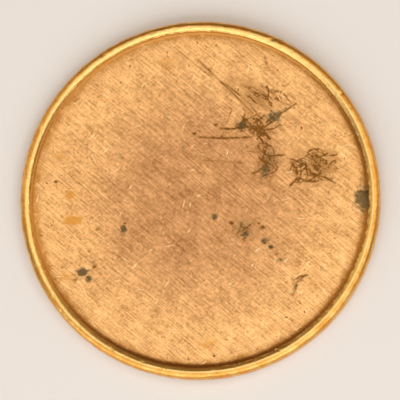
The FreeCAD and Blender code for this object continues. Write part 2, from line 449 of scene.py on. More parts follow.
def ring_tree():
    """Geometry Nodes that sweep a section round the axis and wear it."""
    inputs = {"Section": "Geometry", "Segments": "Int", "Material": "Material"}
    inputs.update(dict.fromkeys(("Radius", "Lip radius", "Lip drift", "Burr", "Dents"), "Float"))
    tree, given, leave = new_group("worn_ring", "GeometryNodeTree", inputs, {"Ring": "Geometry"})
    circling = {"Radius": given["Radius"], "Resolution": given["Segments"]}
    circle = put(tree, "GeometryNodeCurvePrimitiveCircle", circling)
    sweep = put(tree, "GeometryNodeCurveToMesh", {"Curve": circle, "Profile Curve": given["Section"]})
    position = put(tree, "GeometryNodeInputPosition")
    flat = position * (1.0, 1.0, 0.0)
    outwards = maths("NORMALIZE", flat)
    from_lip = maths("LENGTH", flat) - given["Lip radius"]
    at_lip = step(from_lip, 0.0, 0.2 * MM, 1.0, 0.0)
    above = maths("GREATER_THAN", put(tree, "ShaderNodeSeparateXYZ", {0: position}, "Z"), FACE_Z)
    # The lip's edge is most ragged at the front right.
    ragged = step(maths("DOT_PRODUCT", outwards, (0.82, -0.57, 0.0)), 0.35, 0.95, 0.15, 1.0)
    torn = noise(position, 3.2 / MM, detail=4.0, roughness=0.7)
    burrs = (torn - 0.56) * given["Burr"] * 4.0 * at_lip * ragged
    # The upper lip has its full width at the front right and is narrowest at the back left.
    off_centre = step(maths("DOT_PRODUCT", outwards, (-0.87, 0.5, 0.0)), -1.0, 1.0, 0.0, -1.0)
    drift = off_centre * given["Lip drift"] * at_lip
    inwards = outwards * ((drift + burrs) * above * -1.0)
    # Knocks press the crest and the outer corner in, never out.
    knock = step(noise(position, 1.4 / MM, detail=3.0), 0.56, 0.72)
    worn = step(noise(position, 4.0 / MM, detail=2.0), 0.35, 0.75, 0.0, 0.25)
    outside_lip = step(from_lip, 0.12 * MM, 0.25 * MM)
    pressed = (knock + worn) * given["Dents"] * -1.0 * outside_lip
    offset = inwards + put(tree, "GeometryNodeInputNormal") * pressed
    shaped = put(tree, "GeometryNodeSetPosition", {"Geometry": sweep, "Offset": offset})
    return finish_tree(leave, "Ring", shaped, given["Material"])


def finish_tree(leave, output, geometry, material, rounded_look=True):
    """Ends a tree in Realize Instances, smooth or flat shading and Set Material."""
    tree = geometry.tree
    real = put(tree, "GeometryNodeRealizeInstances", {"Geometry": geometry})
    shaded = put(tree, "GeometryNodeSetShadeSmooth", {"Geometry": real, "Shade Smooth": rounded_look})
    painted = put(tree, "GeometryNodeSetMaterial", {"Geometry": shaded, "Material": material})
    feed(tree, leave, {output: painted})
    return tree


def grow(name, seed_object, tree, values):
    """Runs a Geometry Nodes tree on an object and returns the result as a plain mesh piece."""
    modifier = seed_object.modifiers.new("grow", "NODES")
    modifier.node_group = tree
    sockets = {item.name: item.identifier for item in tree.interface.items_tree if item.in_out == "INPUT"}
    for title, setting in values.items():
        modifier[sockets[title]] = setting
    bpy.context.view_layer.update()
    evaluated = seed_object.evaluated_get(bpy.context.evaluated_depsgraph_get())
    mesh = bpy.data.meshes.new_from_object(evaluated)
    seed_object.modifiers.remove(modifier)
    bpy.data.objects.remove(seed_object)
    mesh.name = name
    piece = bpy.data.objects.new(name, mesh)
    bpy.context.scene.collection.objects.link(piece)
    return piece


def rim_brass(settings):
    """Worn yellow brass: bright on the crest, orange brown where nothing rubs it."""
    material, place = new_material("worn_rim_brass")
    clouds = clouds_of(place, 0.9)
    cloud, fleck = clouds["Cloud"], clouds["Fleck"]
    radius = radius_of(place) + (fleck - 0.5) * 0.22
    # Tarnish lies outside the crest and in scattered spots, alike all the way round. The dark brown at the
    # lip's foot is partly grime and partly painted shade in the crease beside the face.
    outside = step(radius, CREST_OUT / MM - 0.05, CREST_OUT / MM + 0.04)
    slope = step(radius, CREST_IN / MM - 0.10, CREST_IN / MM, 1.0, 0.0)
    amber = maths("MAXIMUM", outside * (cloud * 0.5 + 0.45), slope * 0.2)
    # Painted shade, partly grime: the lip's foot is darkened where it meets the face.
    foot = step(radius, LIP_R / MM, LIP_R / MM + 0.08, 0.6, 0.0)
    spots_and_foot_shade = maths("MAXIMUM", foot, step(fleck, 0.59, 0.68) * 0.65)
    colour = tint(spots_and_foot_shade, tint(amber, settings.brass, settings.tarnish), (0.44, 0.165, 0.009))
    colour = shade(colour, blended([(fleck, 0.9)]))
    inputs = {"Base Color": colour, "Metallic": 1.0, "Roughness": cloud * 0.12 + 0.30}
    return finish(material, inputs, fleck, 0.012)


class MARKER_OT_rim(Operator):
    """Sweeps the worn brass rim ring round the discs"""

    bl_idname = "marker.make_rim"
    bl_label = "Rim ring"

    def execute(self, context):
        settings = context.scene.marker_rim
        curve = bpy.data.curves.new("rim_section", "CURVE")
        curve.dimensions = "3D"
        spline = curve.splines.new("POLY")
        section = rim_section()[::-1]
        spline.points.add(len(section) - 1)
        for point, (radius, height) in zip(spline.points, section):
            # A swept section's Y axis points down.
            point.co = (radius - LIP_R, -height, 0.0, 1.0)
        spline.use_cyclic_u = True
        seed_object = bpy.data.objects.new("rim_section", curve)
        context.scene.collection.objects.link(seed_object)
        values = {
            "Radius": LIP_R,
            "Segments": settings.segments,
            "Lip radius": LIP_R,
            "Lip drift": settings.lip_drift,
            "Burr": settings.burr,
            "Dents": settings.dents,
            "Material": rim_brass(settings),
        }
        piece = grow("worn_rim_ring", seed_object, ring_tree(), values)
        turn_out(piece)
        settle(piece, "rim_ring")
        return {"FINISHED"}


# ---------------------------------------------------------------- marks on the plain face

# The marks, in millimetres from the centre as seen from above.
# A spot is (x, y, width, height, turn in degrees, strength).
VERDIGRIS_SPOTS = [
    (2.95, 5.15, 0.9, 0.7, 0, 0.75),
    (5.2, 5.7, 1.1, 0.9, 35, 0.78),
    (5.8, 6.1, 0.8, 0.3, 40, 0.55),
    (4.6, 2.0, 0.8, 1.3, -10, 0.65),
    (4.9, 2.9, 1.0, 1.2, 20, 0.45),
    (11.4, -0.15, 1.35, 1.75, 0, 1.0),
    (-8.15, -5.0, 0.85, 0.7, 0, 1.0),
    (-7.75, -5.4, 0.5, 0.5, 0, 0.95),
    (-7.4, -4.3, 0.3, 0.2, 0, 0.6),
    (-5.25, -2.0, 0.5, 0.65, 20, 0.8),
    (1.05, -1.25, 0.5, 0.45, 0, 0.9),
    (3.05, -2.0, 1.4, 1.1, -30, 0.5),
    (3.2, -2.45, 0.65, 0.4, 20, 0.9),
    (4.5, -2.95, 0.55, 0.55, 0, 0.75),
    (4.95, -3.4, 0.35, 0.3, 0, 0.9),
    (5.6, -4.3, 0.45, 0.4, 0, 0.6),
    (6.65, -6.2, 0.3, 0.6, -15, 0.75),
]
BROWN_SPOTS = [
    (4.0, 7.3, 3.6, 1.5, -35, 0.5),
    (3.9, 5.3, 3.0, 1.2, 8, 0.45),
    (4.3, 4.6, 1.3, 0.6, 0, 0.6),
    (4.7, 2.5, 1.7, 2.8, 0, 0.5),
    (8.2, 2.3, 3.2, 2.6, -10, 0.55),
    (3.2, -1.8, 2.2, 1.9, -30, 0.35),
    (-10.0, 1.4, 0.3, 0.25, 0, 0.9),
    (-5.5, 8.3, 0.2, 0.2, 0, 0.9),
    (-0.35, 4.6, 0.35, 0.25, 30, 0.9),
    (0.0, 4.8, 0.2, 0.15, 0, 0.8),
    (1.15, 5.2, 0.35, 0.25, 20, 0.9),
    (1.55, 4.4, 0.15, 0.15, 0, 0.9),
    (0.7, 9.1, 0.2, 0.2, 0, 0.9),
    (1.0, -10.9, 0.22, 0.2, 0, 1.0),
    (0.3, -5.65, 0.16, 0.16, 0, 0.9),
    (8.1, 5.7, 0.4, 0.35, 0, 0.6),
    (4.6, 9.6, 0.3, 1.0, 10, 0.5),
    (2.2, -1.7, 0.4, 0.3, 0, 0.8),
    (4.4, -2.0, 0.35, 0.3, 0, 0.8),
    (4.1, -1.7, 0.25, 0.2, 0, 0.8),
    (2.9, -1.2, 0.3, 0.3, 0, 0.6),
    (-5.2, -1.6, 0.2, 0.18, 0, 1.0),
    (-7.1, -2.0, 0.5, 0.2, 20, 0.6),
    (7.0, -5.7, 0.4, 0.2, -20, 0.7),
    (8.0, -1.1, 0.25, 0.2, 0, 0.6),
    (-7.3, -4.6, 0.45, 0.3, 40, 0.8),
    (-8.6, -5.5, 0.3, 0.2, 0, 0.7),
    (-7.7, -3.5, 0.2, 0.18, 0, 0.8),
    (3.6, -2.9, 0.3, 0.2, 0, 0.7),
    (2.3, -2.2, 0.3, 0.25, 30, 0.7),
    (5.3, -3.9, 0.3, 0.2, 0, 0.7),
    (6.4, -6.7, 0.25, 0.2, 0, 0.7),
]
OCHRE_SPOTS = [
    (-9.0, 0.45, 0.7, 0.6, 0, 0.9),
    (-8.75, -1.35, 1.5, 0.7, 0, 1.0),
    (-9.8, 3.1, 1.4, 0.7, 15, 0.5),
    (-2.2, 9.6, 2.4, 1.2, 0, 0.5),
    (-9.3, -5.3, 0.9, 0.6, 0, 0.6),
    (0.6, -10.1, 1.6, 0.8, 0, 0.6),
    (5.0, -9.0, 1.0, 0.8, 0, 0.5),
]
MARK_NAMES = ("ochre", "tarnish", "verdigris")
# A stroke is (width, strength, points).
DARK_STROKES = [
    (0.09, 0.85, [(1.5, 4.95), (2.3, 4.9), (3.2, 5.05), (4.5, 5.0), (5.1, 5.4)]),
    (0.09, 0.75, [(4.9, 5.3), (5.6, 5.9), (6.1, 6.2), (6.7, 6.6)]),
    (0.09, 0.80, [(0.0, 4.35), (1.8, 4.25), (3.5, 4.3)]),
    (0.09, 0.65, [(3.4, 3.3), (4.6, 3.2)]),
    (0.07, 0.60, [(0.1, 2.75), (1.6, 2.65), (3.1, 2.5)]),
    (0.07, 0.70, [(-0.15, 9.8), (1.1, 8.6), (2.6, 7.1), (3.7, 6.0)]),
    (0.06, 0.60, [(-1.7, 10.7), (-0.1, 9.3), (0.9, 8.6)]),
    (0.07, 0.70, [(1.8, 8.1), (3.5, 6.6), (4.2, 5.7)]),
    (0.07, 0.65, [(3.5, 7.9), (4.9, 7.1), (6.6, 6.3)]),
    (0.07, 0.75, [(6.4, 2.5), (7.0, 2.6), (7.5, 3.0), (8.3, 3.2), (9.0, 2.9), (9.5, 3.0)]),
    (0.09, 0.80, [(6.3, 0.9), (6.8, 1.4), (7.6, 1.2), (8.2, 1.6), (8.9, 1.3), (9.4, 1.0)]),
]
# A tangle is a patch of short crooked strokes: (x, y, width, height, heading in degrees, spread, count).
TANGLES = [
    (7.9, 2.1, 2.8, 2.2, 0, 80, 42),
    (3.7, 5.0, 2.6, 0.9, 5, 35, 38),
    (4.7, 2.6, 0.9, 2.0, 80, 45, 30),
    (4.2, 7.5, 3.0, 1.6, -38, 8, 16),
    (3.3, -1.9, 1.6, 1.2, -30, 50, 6),
    (6.7, -5.9, 0.9, 1.2, 70, 25, 4),
]


def tangled_strokes():
    """The crooked strokes of every tangle."""
    rng = np.random.default_rng(41)
    strokes = []
    for x, y, width, height, main_heading, spread, count in TANGLES:
        for _ in range(count):
            spot = np.array([x, y]) + rng.normal(size=2) * (width, height) / 4
            heading = math.radians(main_heading + rng.normal() * spread)
            bend = rng.normal() * min(0.5, spread / 80)
            points = [tuple(spot)]
            for _ in range(4):
                heading += bend + rng.normal() * 0.25
                spot = spot + rng.uniform(0.12, 0.34) * np.array([math.cos(heading), math.sin(heading)])
                points.append(tuple(spot))
            strokes.append((rng.uniform(0.05, 0.09), rng.uniform(0.45, 0.95), points))
    return strokes


def raggedness(points):
    """Noise that breaks up the marks' outlines, at two sizes."""
    return ripple(points, 0.35, 11) * 0.6 + ripple(points, 0.14, 12) * 0.4


def turned_away(points, place, turn):
    """How far points lie from a place, along a direction and across it."""
    away = points - place
    return away @ (math.cos(turn), math.sin(turn)), away @ (-math.sin(turn), math.cos(turn))


def spot_cover(points, ragged, spots):
    """A soft field over a list of spots: each spot's strength in its middle, and 0 well outside it."""
    cover = np.zeros(len(points))
    for x, y, width, height, degrees, strength in spots:
        along, across = turned_away(points, (x, y), math.radians(degrees))
        edge = np.hypot(along / (width / 2), across / (height / 2)) * (1.0 + 0.35 * ragged)
        cover = np.maximum(cover, strength * smooth(1.6, 0.3, edge))
    return cover


def stroke_cover(points, ragged, strokes):
    """A soft field along a list of strokes."""
    cover = np.zeros(len(points))
    for width, strength, path in strokes:
        for start, end in zip(path, path[1:]):
            start, run = np.array(start), np.subtract(end, start)
            middle, reach = start + run / 2, np.linalg.norm(run) / 2 + 3 * width
            near = np.flatnonzero(np.abs(points - middle).max(axis=1) < reach)
            share = np.clip((points[near] - start) @ run / (run @ run), 0, 1)
            away = np.linalg.norm(points[near] - start - share[:, None] * run, axis=1)
            edge = away / (width * (1.0 + 0.3 * ragged[near]))
            cover[near] = np.maximum(cover[near], strength * smooth(1.9, 0.0, edge))
    return cover


def disc_grid(cells, radius):
    """A square grid of points bent into a disc, and its square faces and outer loop."""
    side = np.linspace(-1, 1, cells + 1)
    across, along = np.meshgrid(side, side, indexing="ij")
    wide = np.abs(across) > np.abs(along)
    reach = np.where(wide, across, along)
    other = np.where(wide, along, across)
    slant = math.pi / 4 * other / np.where(reach == 0, 1, reach)
    turn = np.where(wide, slant, math.pi / 2 - slant)
    points = radius * np.column_stack([(reach * np.cos(turn)).ravel(), (reach * np.sin(turn)).ravel()])
    number = np.arange((cells + 1) ** 2).reshape(cells + 1, cells + 1)
    squares = np.stack([number[:-1, :-1], number[1:, :-1], number[1:, 1:], number[:-1, 1:]], axis=-1)
    loop = np.concatenate([number[:-1, 0], number[-1, :-1], number[:0:-1, -1], number[0, :0:-1]])
    return points, squares.reshape(-1, 4), loop


COVE_POWER = 2.4  # The greater, the hollower the cove.
DENTS = 60
SCRATCHES = 140


def face_relief(points, ragged, tarnish, verdigris):
    """The plain face's height above its flat, in millimetres: cove, moat, waves, crusts and knocks."""
    radius = np.hypot(points[:, 0], points[:, 1])
    lip, flat = LIP_R / MM, FACE_R / MM
    rise = (HIGH_FOOT - FACE_Z) / MM
    cove = rise * np.clip((radius - flat) / (lip - flat), 0, 1) ** COVE_POWER
    moat = -0.006 * np.exp(-(((radius - flat + 0.1) / 0.3) ** 2))
    waves = 0.003 * ripple(points, 1.6, 21) + 0.0012 * ripple(points, 0.3, 22)
    crust = 0.012 * verdigris**2 * (0.7 + 0.5 * ragged) - 0.003 * tarnish
    return cove + moat + waves + crust + dents(points) + scratches(points)


def dents(points):
    """Small round knocks scattered over the face."""
    rng = np.random.default_rng(31)
    depth = np.zeros(len(points))
    for _ in range(DENTS):
        reach, turn = 11.0 * math.sqrt(rng.uniform()), rng.uniform(0, TURN)
        size, deep = rng.uniform(0.08, 0.16), rng.uniform(0.002, 0.007)
        away = points - (reach * math.cos(turn), reach * math.sin(turn))
        depth -= deep * np.exp(-(away**2).sum(axis=1) / size**2)
    return depth


def scratches(points):
    """Long shallow brush lines, all near the grain's direction."""
    rng = np.random.default_rng(32)
    angle = bpy.context.scene.marker_face.grain_angle
    depth = np.zeros(len(points))
    for _ in range(SCRATCHES):
        turn = angle + rng.normal(0, 0.12)
        reach, around = 10.5 * math.sqrt(rng.uniform()), rng.uniform(0, TURN)
        place = (reach * math.cos(around), reach * math.sin(around))
        along, across = turned_away(points, place, turn)
        along, across = along / rng.uniform(0.3, 1.2), across / 0.07
        depth -= rng.uniform(0.0005, 0.002) * np.exp(-(across**2) - along**4)
    return depth


def face_mesh(settings):
    """The back disc: a dense worn face, the cove, the hidden ledge, and a plain closed underside."""
    points, squares, loop = disc_grid(settings.cells, FACE_R / MM)
    cove_rings = 11
    radii = [FACE_R / MM + (LIP_R - FACE_R) / MM * i / cove_rings for i in range(1, cove_rings + 1)]
    unit = points[loop] / (FACE_R / MM)
    tops = [points] + [unit * radius for radius in radii]
    flat = np.concatenate(tops)
    ragged = raggedness(flat)
    marks = {
        "tarnish": np.maximum(
            stroke_cover(flat, ragged, DARK_STROKES + tangled_strokes()),
            spot_cover(flat, ragged, BROWN_SPOTS),
        ),
        "verdigris": spot_cover(flat, ragged, VERDIGRIS_SPOTS),
        "ochre": spot_cover(flat, ragged, OCHRE_SPOTS),
    }
    heights = FACE_Z / MM + face_relief(flat, ragged, marks["tarnish"], marks["verdigris"])
    heights[-len(loop):] = HIGH_FOOT / MM
    shell = [np.column_stack([flat, heights])]
    for radius, height in ((DISC_R, HIGH_FOOT), (DISC_R, DISC_LOW)):
        shell.append(np.column_stack([unit * radius / MM, np.full(len(loop), height / MM)]))
    shell.append(np.array([[0.0, 0.0, DISC_LOW / MM]]))
    corners = np.concatenate(shell) * MM
    faces = squares.tolist()
    rings = [loop] + [len(points) + len(loop) * i + np.arange(len(loop)) for i in range(cove_rings + 2)]
    for inner, outer in zip(rings, rings[1:]):
        faces += np.column_stack([inner, outer, np.roll(outer, -1), np.roll(inner, -1)]).tolist()
    last, middle = rings[-1], len(corners) - 1
    faces += [(int(a), int(b), middle) for a, b in zip(last, np.roll(last, -1))]
    return corners, faces, marks


def red_brass(settings):
    """Brushed red brass with its marks, and the dark border under the lip, partly grime and partly painted
    shade.
    """
    material, place = new_material("worn_red_brass")
    radius, angle = radius_of(place), settings.grain_angle
    brushed = brush_lines(place, 0.8, 0.13, angle)
    crossed = brush_lines(place, 0.3, 0.1, angle + 1.3)
    lines, cross_lines = brushed["Height"], crossed["Height"]
    long_lines = brush_lines(place, 2.2, 0.1, angle - 0.05)["Height"]
    broad, fine = clouds_of(place, 1.7)["Cloud"], clouds_of(place, 0.95)
    cloud, fleck = fine["Cloud"], fine["Fleck"]
    # The middle is pinker and darker, and the outer part yellower and brighter.
    outward = step(radius, 3.0, 11.2, 0.15, 1.0) + blended([(broad, 0.2)])
    grain = blended([(lines, 0.85), (long_lines, 1.35), (cross_lines, 0.6)])
    grain += blended([(fleck, 1.5), (cloud, 0.25), (broad, 0.08)])
    colour = shade(tint(outward, settings.copper, settings.gold), grain)
    nicks = maths("MAXIMUM", brushed["Nicks"] * 0.3, crossed["Nicks"])
    # Brown flecks, thicker towards the border, which has a ragged edge.
    flecks = step(fleck + step(radius, 8.0, 11.6, 0.0, 0.12), 0.66, 0.78)
    # Painted shade, partly grime: the border darkens the cove under the lip.
    border = step(radius + blended([(cloud, 0.4), (fleck, 0.9)]), 11.0, 11.65)
    # The marks break up along the brush lines.
    covers = {name: attribute(material, name) for name in MARK_NAMES}
    ragged = blended([(lines, 1.1), (fleck, 1.0), (cross_lines, 0.6)])
    ochre = step(covers["ochre"] + ragged, 0.35, 0.75, 0.0, 0.75)
    brown = step(covers["tarnish"] + ragged, 0.36, 0.8, 0.0, 0.92)
    patina = step(covers["verdigris"] + ragged, 0.40, 0.85, 0.0, 0.95)
    # Each layer covers the ones before it.
    layers = [
        (nicks * 0.32, (0.34, 0.15, 0.035)),
        (flecks * 0.55, (0.34, 0.135, 0.016)),
        # Painted shade under the lip, partly grime.
        (border * 0.85, (0.38, 0.15, 0.018)),
        (covers["tarnish"] * 0.6, (0.40, 0.19, 0.045)),
        (covers["verdigris"] * 0.5, (0.20, 0.15, 0.075)),
        (ochre, (0.66, 0.28, 0.03)),
        (brown, (0.19, 0.07, 0.005)),
        (patina, tint(cloud, (0.082, 0.056, 0.014), (0.225, 0.148, 0.06))),
    ]
    for cover, paint in layers:
        colour = tint(cover, colour, paint)
    dull = maths("MAXIMUM", patina, brown * 0.6)
    rough = dull * 0.2 + (lines * 0.2 + 0.26)
    inputs = {"Base Color": colour, "Metallic": dull * -0.2 + 1.0, "Roughness": rough}
    return finish(material, inputs, blended([(lines, 1.0), (cross_lines, 0.5), (fleck, 0.6)]), 0.012)


class MARKER_OT_face(Operator):
    """Builds the back disc with its brushed, scratched and tarnished face"""

    bl_idname = "marker.make_face"
    bl_label = "Plain face"

    def execute(self, context):
        settings = context.scene.marker_face
        corners, faces, marks = face_mesh(settings)
        piece = mesh_object("worn_back_disc", corners, faces, red_brass(settings))
        for name, cover in marks.items():
            layer = piece.data.attributes.new(name, "FLOAT", "POINT")
            spread = np.zeros(len(piece.data.vertices), np.float32)
            spread[: len(cover)] = cover
            layer.data.foreach_set("value", spread)
        settle(piece, "back_disc")
        return {"FINISHED"}


# ---------------------------------------------------------------- specks and bright scratches


# What lies on the plain face is this far above its flat, clear of its small waves.
PROUD = 0.003 * MM


def strewing_tree():
    """Geometry Nodes that strew flat low-poly grains over a disc, thicker towards its border."""
    floats = "Radius, Level, Density, Middle share, Length, Width, Height, Heading, Spread".split(", ")
    inputs = {**dict.fromkeys(floats, "Float"), "Seed": "Int", "Material": "Material"}
    tree, given, leave = new_group("strewn_grains", "GeometryNodeTree", inputs, {"Grains": "Geometry"})
    outline = {"Vertices": 96, "Radius": given["Radius"]}
    disc = put(tree, "GeometryNodeMeshCircle", outline, fill_type="NGON")
    lift = put(tree, "ShaderNodeCombineXYZ", {"Z": given["Level"]})
    disc = put(tree, "GeometryNodeTransform", {"Geometry": disc, "Translation": lift})
    scatter = {"Mesh": disc, "Density": given["Density"], "Seed": given["Seed"]}
    points = put(tree, "GeometryNodeDistributePointsOnFaces", scatter)
    flat = put(tree, "GeometryNodeInputPosition") * (1.0, 1.0, 0.0)
    outward = maths("DIVIDE", maths("LENGTH", flat), given["Radius"])
    keep = step(outward, 0.55, 1.0) * (1.0 - given["Middle share"]) + given["Middle share"]
    chance = random_value(given["Seed"], 0.0, 1.0, 1)
    culled = {"Geometry": points, "Selection": maths("GREATER_THAN", chance, keep)}
    points = put(tree, "GeometryNodeDeleteGeometry", culled, domain="POINT")
    size = maths("POWER", random_value(given["Seed"], 0.0, 1.0, 2), 2.5) * 0.75 + 0.3
    slimmer = random_value(given["Seed"], 0.6, 1.1, 3) * maths("SQRT", size)
    turn = random_value(given["Seed"], -1.0, 1.0, 4) * given["Spread"] + given["Heading"]
    spans = {"X": given["Length"] * size, "Y": given["Width"] * slimmer, "Z": given["Height"]}
    instancing = {
        "Points": points,
        "Instance": put(tree, "GeometryNodeMeshIcoSphere", {"Radius": 0.5, "Subdivisions": 1}),
        "Rotation": put(tree, "ShaderNodeCombineXYZ", {"Z": turn}),
        "Scale": put(tree, "ShaderNodeCombineXYZ", spans),
    }
    grains = put(tree, "GeometryNodeInstanceOnPoints", instancing)
    return finish_tree(leave, "Grains", grains, given["Material"], rounded_look=False)


def random_value(seed, low, high, number):
    """A random number for each point. number keeps the draws of one tree apart."""
    return put(seed.tree, "FunctionNodeRandomValue", {"Seed": seed + 100.0 * number, 2: low, 3: high}, 1)


def strewn(name, material, spans, values):
    """Grows one piece of strewn grains. spans is about the largest ones' size, in millimetres."""
    empty = bpy.data.objects.new(name, bpy.data.meshes.new(name))
    bpy.context.scene.collection.objects.link(empty)
    values = {**values, "Radius": LIP_R - 0.3 * MM, "Level": FACE_Z + PROUD, "Material": material}
    values.update(zip(("Length", "Width", "Height"), (span * MM for span in spans)))
    tree = bpy.data.node_groups.get("strewn_grains") or strewing_tree()
    settle(grow(name, empty, tree, values), None)


def speck_material():
    """Dark brown tarnish that has grown up in specks."""
    material, place = new_material("tarnish_specks")
    cloud = noise(place, 4.0)
    colour = tint(step(cloud, 0.35, 0.65), (0.24, 0.10, 0.018), (0.56, 0.27, 0.08))
    return finish(material, {"Base Color": colour, "Metallic": 0.9, "Roughness": 0.5}, cloud, 0.01)


def fresh_material():
    """Bare metal in the newest scratches."""
    material, place = new_material("fresh_scratches")
    gleam = noise(place, 6.0)
    colour = tint(gleam, (0.97, 0.70, 0.34), (1.0, 0.84, 0.50))
    return finish(material, {"Base Color": colour, "Metallic": 1.0, "Roughness": gleam * 0.2 + 0.2})


# The larger fresh scratches: x, y, heading in degrees and length, in millimetres from the centre.
FRESH_SCRATCHES = [
    (1.93, 3.23, 78, 0.55),
    (-6.46, 3.63, 45, 0.65),
    (-6.62, 3.42, 42, 0.59),
    (-0.06, 0.26, 30, 0.45),
    (-0.5, 2.07, 20, 0.45),
    (-0.75, -2.2, 45, 0.52),
    (-4.47, -4.53, 40, 0.65),
    (6.2, 1.83, 10, 0.52),
    (-4.8, 0.95, 50, 0.45),
    (-0.66, -0.35, 80, 0.39),
    (3.66, -4.63, 60, 0.39),
    (-3.4, -3.5, 35, 0.39),
    (2.1, -5.9, 25, 0.39),
]


def slivers(scratches, width, height):
    """A flat eight-sided splinter along each scratch, partly sunk in the face."""
    points, faces = [], []
    for x, y, heading, length in scratches:
        turn = math.radians(heading)
        along = np.array([math.cos(turn), math.sin(turn), 0.0]) * length / 2
        across = np.array([-math.sin(turn), math.cos(turn), 0.0]) * width / 2
        middle = np.array([x, y, (FACE_Z + PROUD) / MM])
        ends = [middle - along, middle + along]
        belt = [middle - across, middle + (0, 0, height), middle + across, middle - (0, 0, height)]
        first = len(points)
        points += ends + belt
        for side in range(4):
            near, far = first + 2 + side, first + 2 + (side + 1) % 4
            faces += [(first, far, near), (first + 1, near, far)]
    return np.array(points) * MM, faces


class MARKER_OT_scratches(Operator):
    """Strews tarnish specks and fresh bright scratches over the plain face"""

    bl_idname = "marker.make_scratches"
    bl_label = "Specks and scratches"

    def execute(self, context):
        settings = context.scene.marker_scratches
        fresh = fresh_material()
        specks = {"Density": settings.specks, "Middle share": 0.10, "Heading": -0.6, "Spread": 1.2, "Seed": 3}
        strewn("tarnish_specks", speck_material(), (0.30, 0.11, 0.006), specks)
        fine = {"Density": settings.splinters, "Middle share": 0.6, "Heading": 0.2, "Spread": 1.3, "Seed": 8}
        strewn("fine_scratches", fresh, (0.8, 0.055, 0.004), fine)
        piece = mesh_object("fresh_scratches", *slivers(FRESH_SCRATCHES, 0.075, 0.006), fresh)
        piece.data.shade_flat()
        turn_out(piece)
        settle(piece, None)
        return {"FINISHED"}


# ---------------------------------------------------------------- the enamelled underside


def satin_brass(settings):
    """The front disc: satin brass brushed along the aiming line."""
    material, place = new_material("satin_front_brass")
    lines, clouds = brush_lines(place, 2.2, 0.1)["Height"], clouds_of(place, 1.5)
    colour = tint(clouds["Cloud"] * 0.35, settings.brass, settings.tarnish)
    colour = shade(colour, blended([(lines, 0.8), (clouds["Fleck"], 0.4)]))
    inputs = {"Base Color": colour, "Metallic": 1.0, "Roughness": lines * 0.25 + 0.2}
    return finish(material, inputs, lines, 0.008)


def enamel(name, deep, pale):
    """Hard enamel, ground flush: glossy, faintly cloudy, with pinhead bubbles that the grinding opened."""
    material, place = new_material(name)
    clouds = clouds_of(place, 2.2)
    cells = put(place.tree, "ShaderNodeTexVoronoi", {"Vector": place, "Scale": 2.4}, "Distance")
    bubble = step(cells, 0.05, 0.09, 1.0, 0.0)
    colour = tint(clouds["Cloud"], deep, pale)
    # The opened bubbles are painted darker: painted shade in the pits.
    colour = tint(bubble * 0.5, colour, tuple(level * 0.4 for level in deep))
    inputs = {"Base Color": colour, "Roughness": clouds["Fleck"] * 0.15 + 0.06}
    inputs.update({"Coat Weight": 0.6, "Coat Roughness": 0.04})
    return finish(material, inputs, bubble * -0.6, 0.02)


def bare_steel():
    """The core's bare mild steel: rolled grey sheet with rust starting at its edge."""
    material, place = new_material("bare_steel_core")
    rolled, cloud = brush_lines(place, 3.0, 0.12)["Height"], clouds_of(place, 1.2)["Cloud"]
    colour = shade(tint(cloud, (0.50, 0.50, 0.51), (0.60, 0.60, 0.61)), blended([(rolled, 0.5)]))
    rust = step(radius_of(place), DISC_R / MM - 0.5, DISC_R / MM) * cloud
    colour = tint(rust, colour, (0.30, 0.12, 0.04))
    inputs = {"Base Color": colour, "Metallic": 1.0 - rust, "Roughness": rolled * 0.2 + 0.3}
    return finish(material, inputs, rolled, 0.008)


def clear_resin():
    """Clear resin with a soft skin and hairline scratches."""
    material, place = new_material("scuffed_clear_resin")
    scuffs = step(brush_lines(place, 4.0, 0.08, 0.9)["Height"], 0.62, 0.75)
    inputs = {"Base Color": (0.98, 0.985, 0.97, 1.0), "Transmission Weight": 1.0, "IOR": 1.5}
    inputs["Roughness"] = scuffs * 0.18 + 0.03
    return finish(material, inputs, noise(place, 0.5, detail=1.0) * 0.8 + scuffs * -0.15, 0.01)


def resin_dome(settings):
    """The poured resin: thickest in the middle, with a rounded bead at its edge."""
    low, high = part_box("clear_coat")
    inner = high.x - settings.bead
    # The resin's flat side is just clear of the enamel, so that the two surfaces don't coincide.
    back = high.z - settings.resin_gap
    dome_rings, bead_rings, turns = 24, 8, 240
    shares = [number / dome_rings for number in range(1, dome_rings + 1)]
    profile = [(inner * share, low.z + settings.crown * share**2) for share in shares]
    foot = profile[-1][1]
    for number in range(1, bead_rings + 1):
        angle = math.pi / 2 * number / bead_rings
        rise = (back - foot) * 0.7 * (1 - math.cos(angle))
        profile.append((inner + settings.bead * math.sin(angle), foot + rise))
    profile.append((high.x, back))
    spokes = [(math.cos(TURN * n / turns), math.sin(TURN * n / turns)) for n in range(turns)]
    points = [(0.0, 0.0, low.z)]
    points += [(reach * x, reach * y, height) for reach, height in profile for x, y in spokes]
    points.append((0.0, 0.0, back))
    around = [(number, (number + 1) % turns) for number in range(turns)]
    faces = [(0, 1 + after, 1 + number) for number, after in around]
    for near in range(1, 1 + (len(profile) - 1) * turns, turns):
        far = near + turns
        faces += [(near + number, near + after, far + after, far + number) for number, after in around]
    faces += [(far + number, far + after, len(points) - 1) for number, after in around]
    return points, faces


